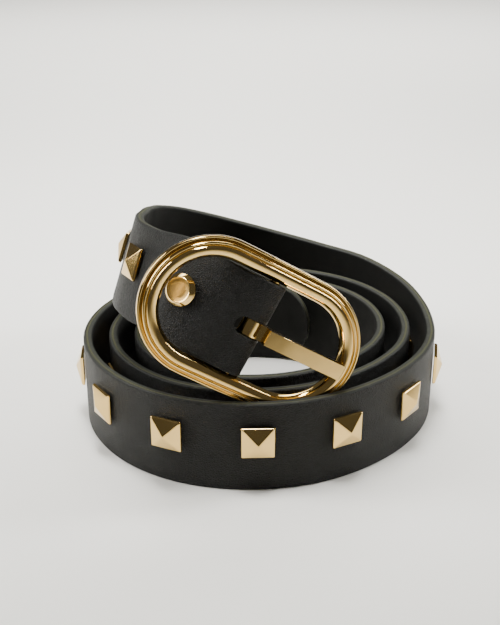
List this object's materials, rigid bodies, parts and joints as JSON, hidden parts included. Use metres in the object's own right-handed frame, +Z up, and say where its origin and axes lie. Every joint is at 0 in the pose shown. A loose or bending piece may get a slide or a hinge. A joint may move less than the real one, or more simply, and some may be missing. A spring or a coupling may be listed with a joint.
{
  "type": "studded belt",
  "caption": "Leather belt with pyramid studs and an oval buckle with a prong, lying on its edge in a loose coil with the buckle end raised on top.",
  "frame": {"origin": "under the middle of the whole belt, on the surface that it lies on", "axes": "+Z up, -Y towards the viewer: the buckle lies at the front and faces -Y, and the raised stretch goes round the left and the back"},
  "size_m": [0.1262, 0.1284, 0.0803],
  "materials": {
    "leather": "satin, fine grain, burnished edges",
    "gold": "mirror polished, pale gold"
  },
  "bodies": {
    "belt": {"strap": "leather", "rivet": "gold", "buckle_frame": "gold", "stud_01": "gold", "stud_02": "gold", "stud_03": "gold", "stud_04": "gold", "stud_05": "gold", "stud_06": "gold", "stud_07": "gold", "stud_08": "gold", "stud_09": "gold", "stud_10": "gold", "stud_11": "gold", "stud_12": "gold", "stud_13": "gold", "stud_14": "gold", "stud_15": "gold", "stud_16": "gold", "stud_17": "gold", "stud_18": "gold", "stud_19": "gold", "stud_20": "gold", "stud_21": "gold", "stud_22": "gold", "stud_23": "gold", "stud_24": "gold", "stud_25": "gold", "stud_26": "gold", "stud_27": "gold", "stud_28": "gold", "stud_29": "gold", "stud_30": "gold"},
    "prong": {"prong": "gold"}
  },
  "joints": [
    {"name": "prong_hinge", "type": "hinge", "parent": "belt", "child": "prong", "pos_m": [-0.00316, -0.05107, 0.05139], "axis": [-0.475, -0.2321, -0.8488], "range_deg": [0, 90]}
  ]
}
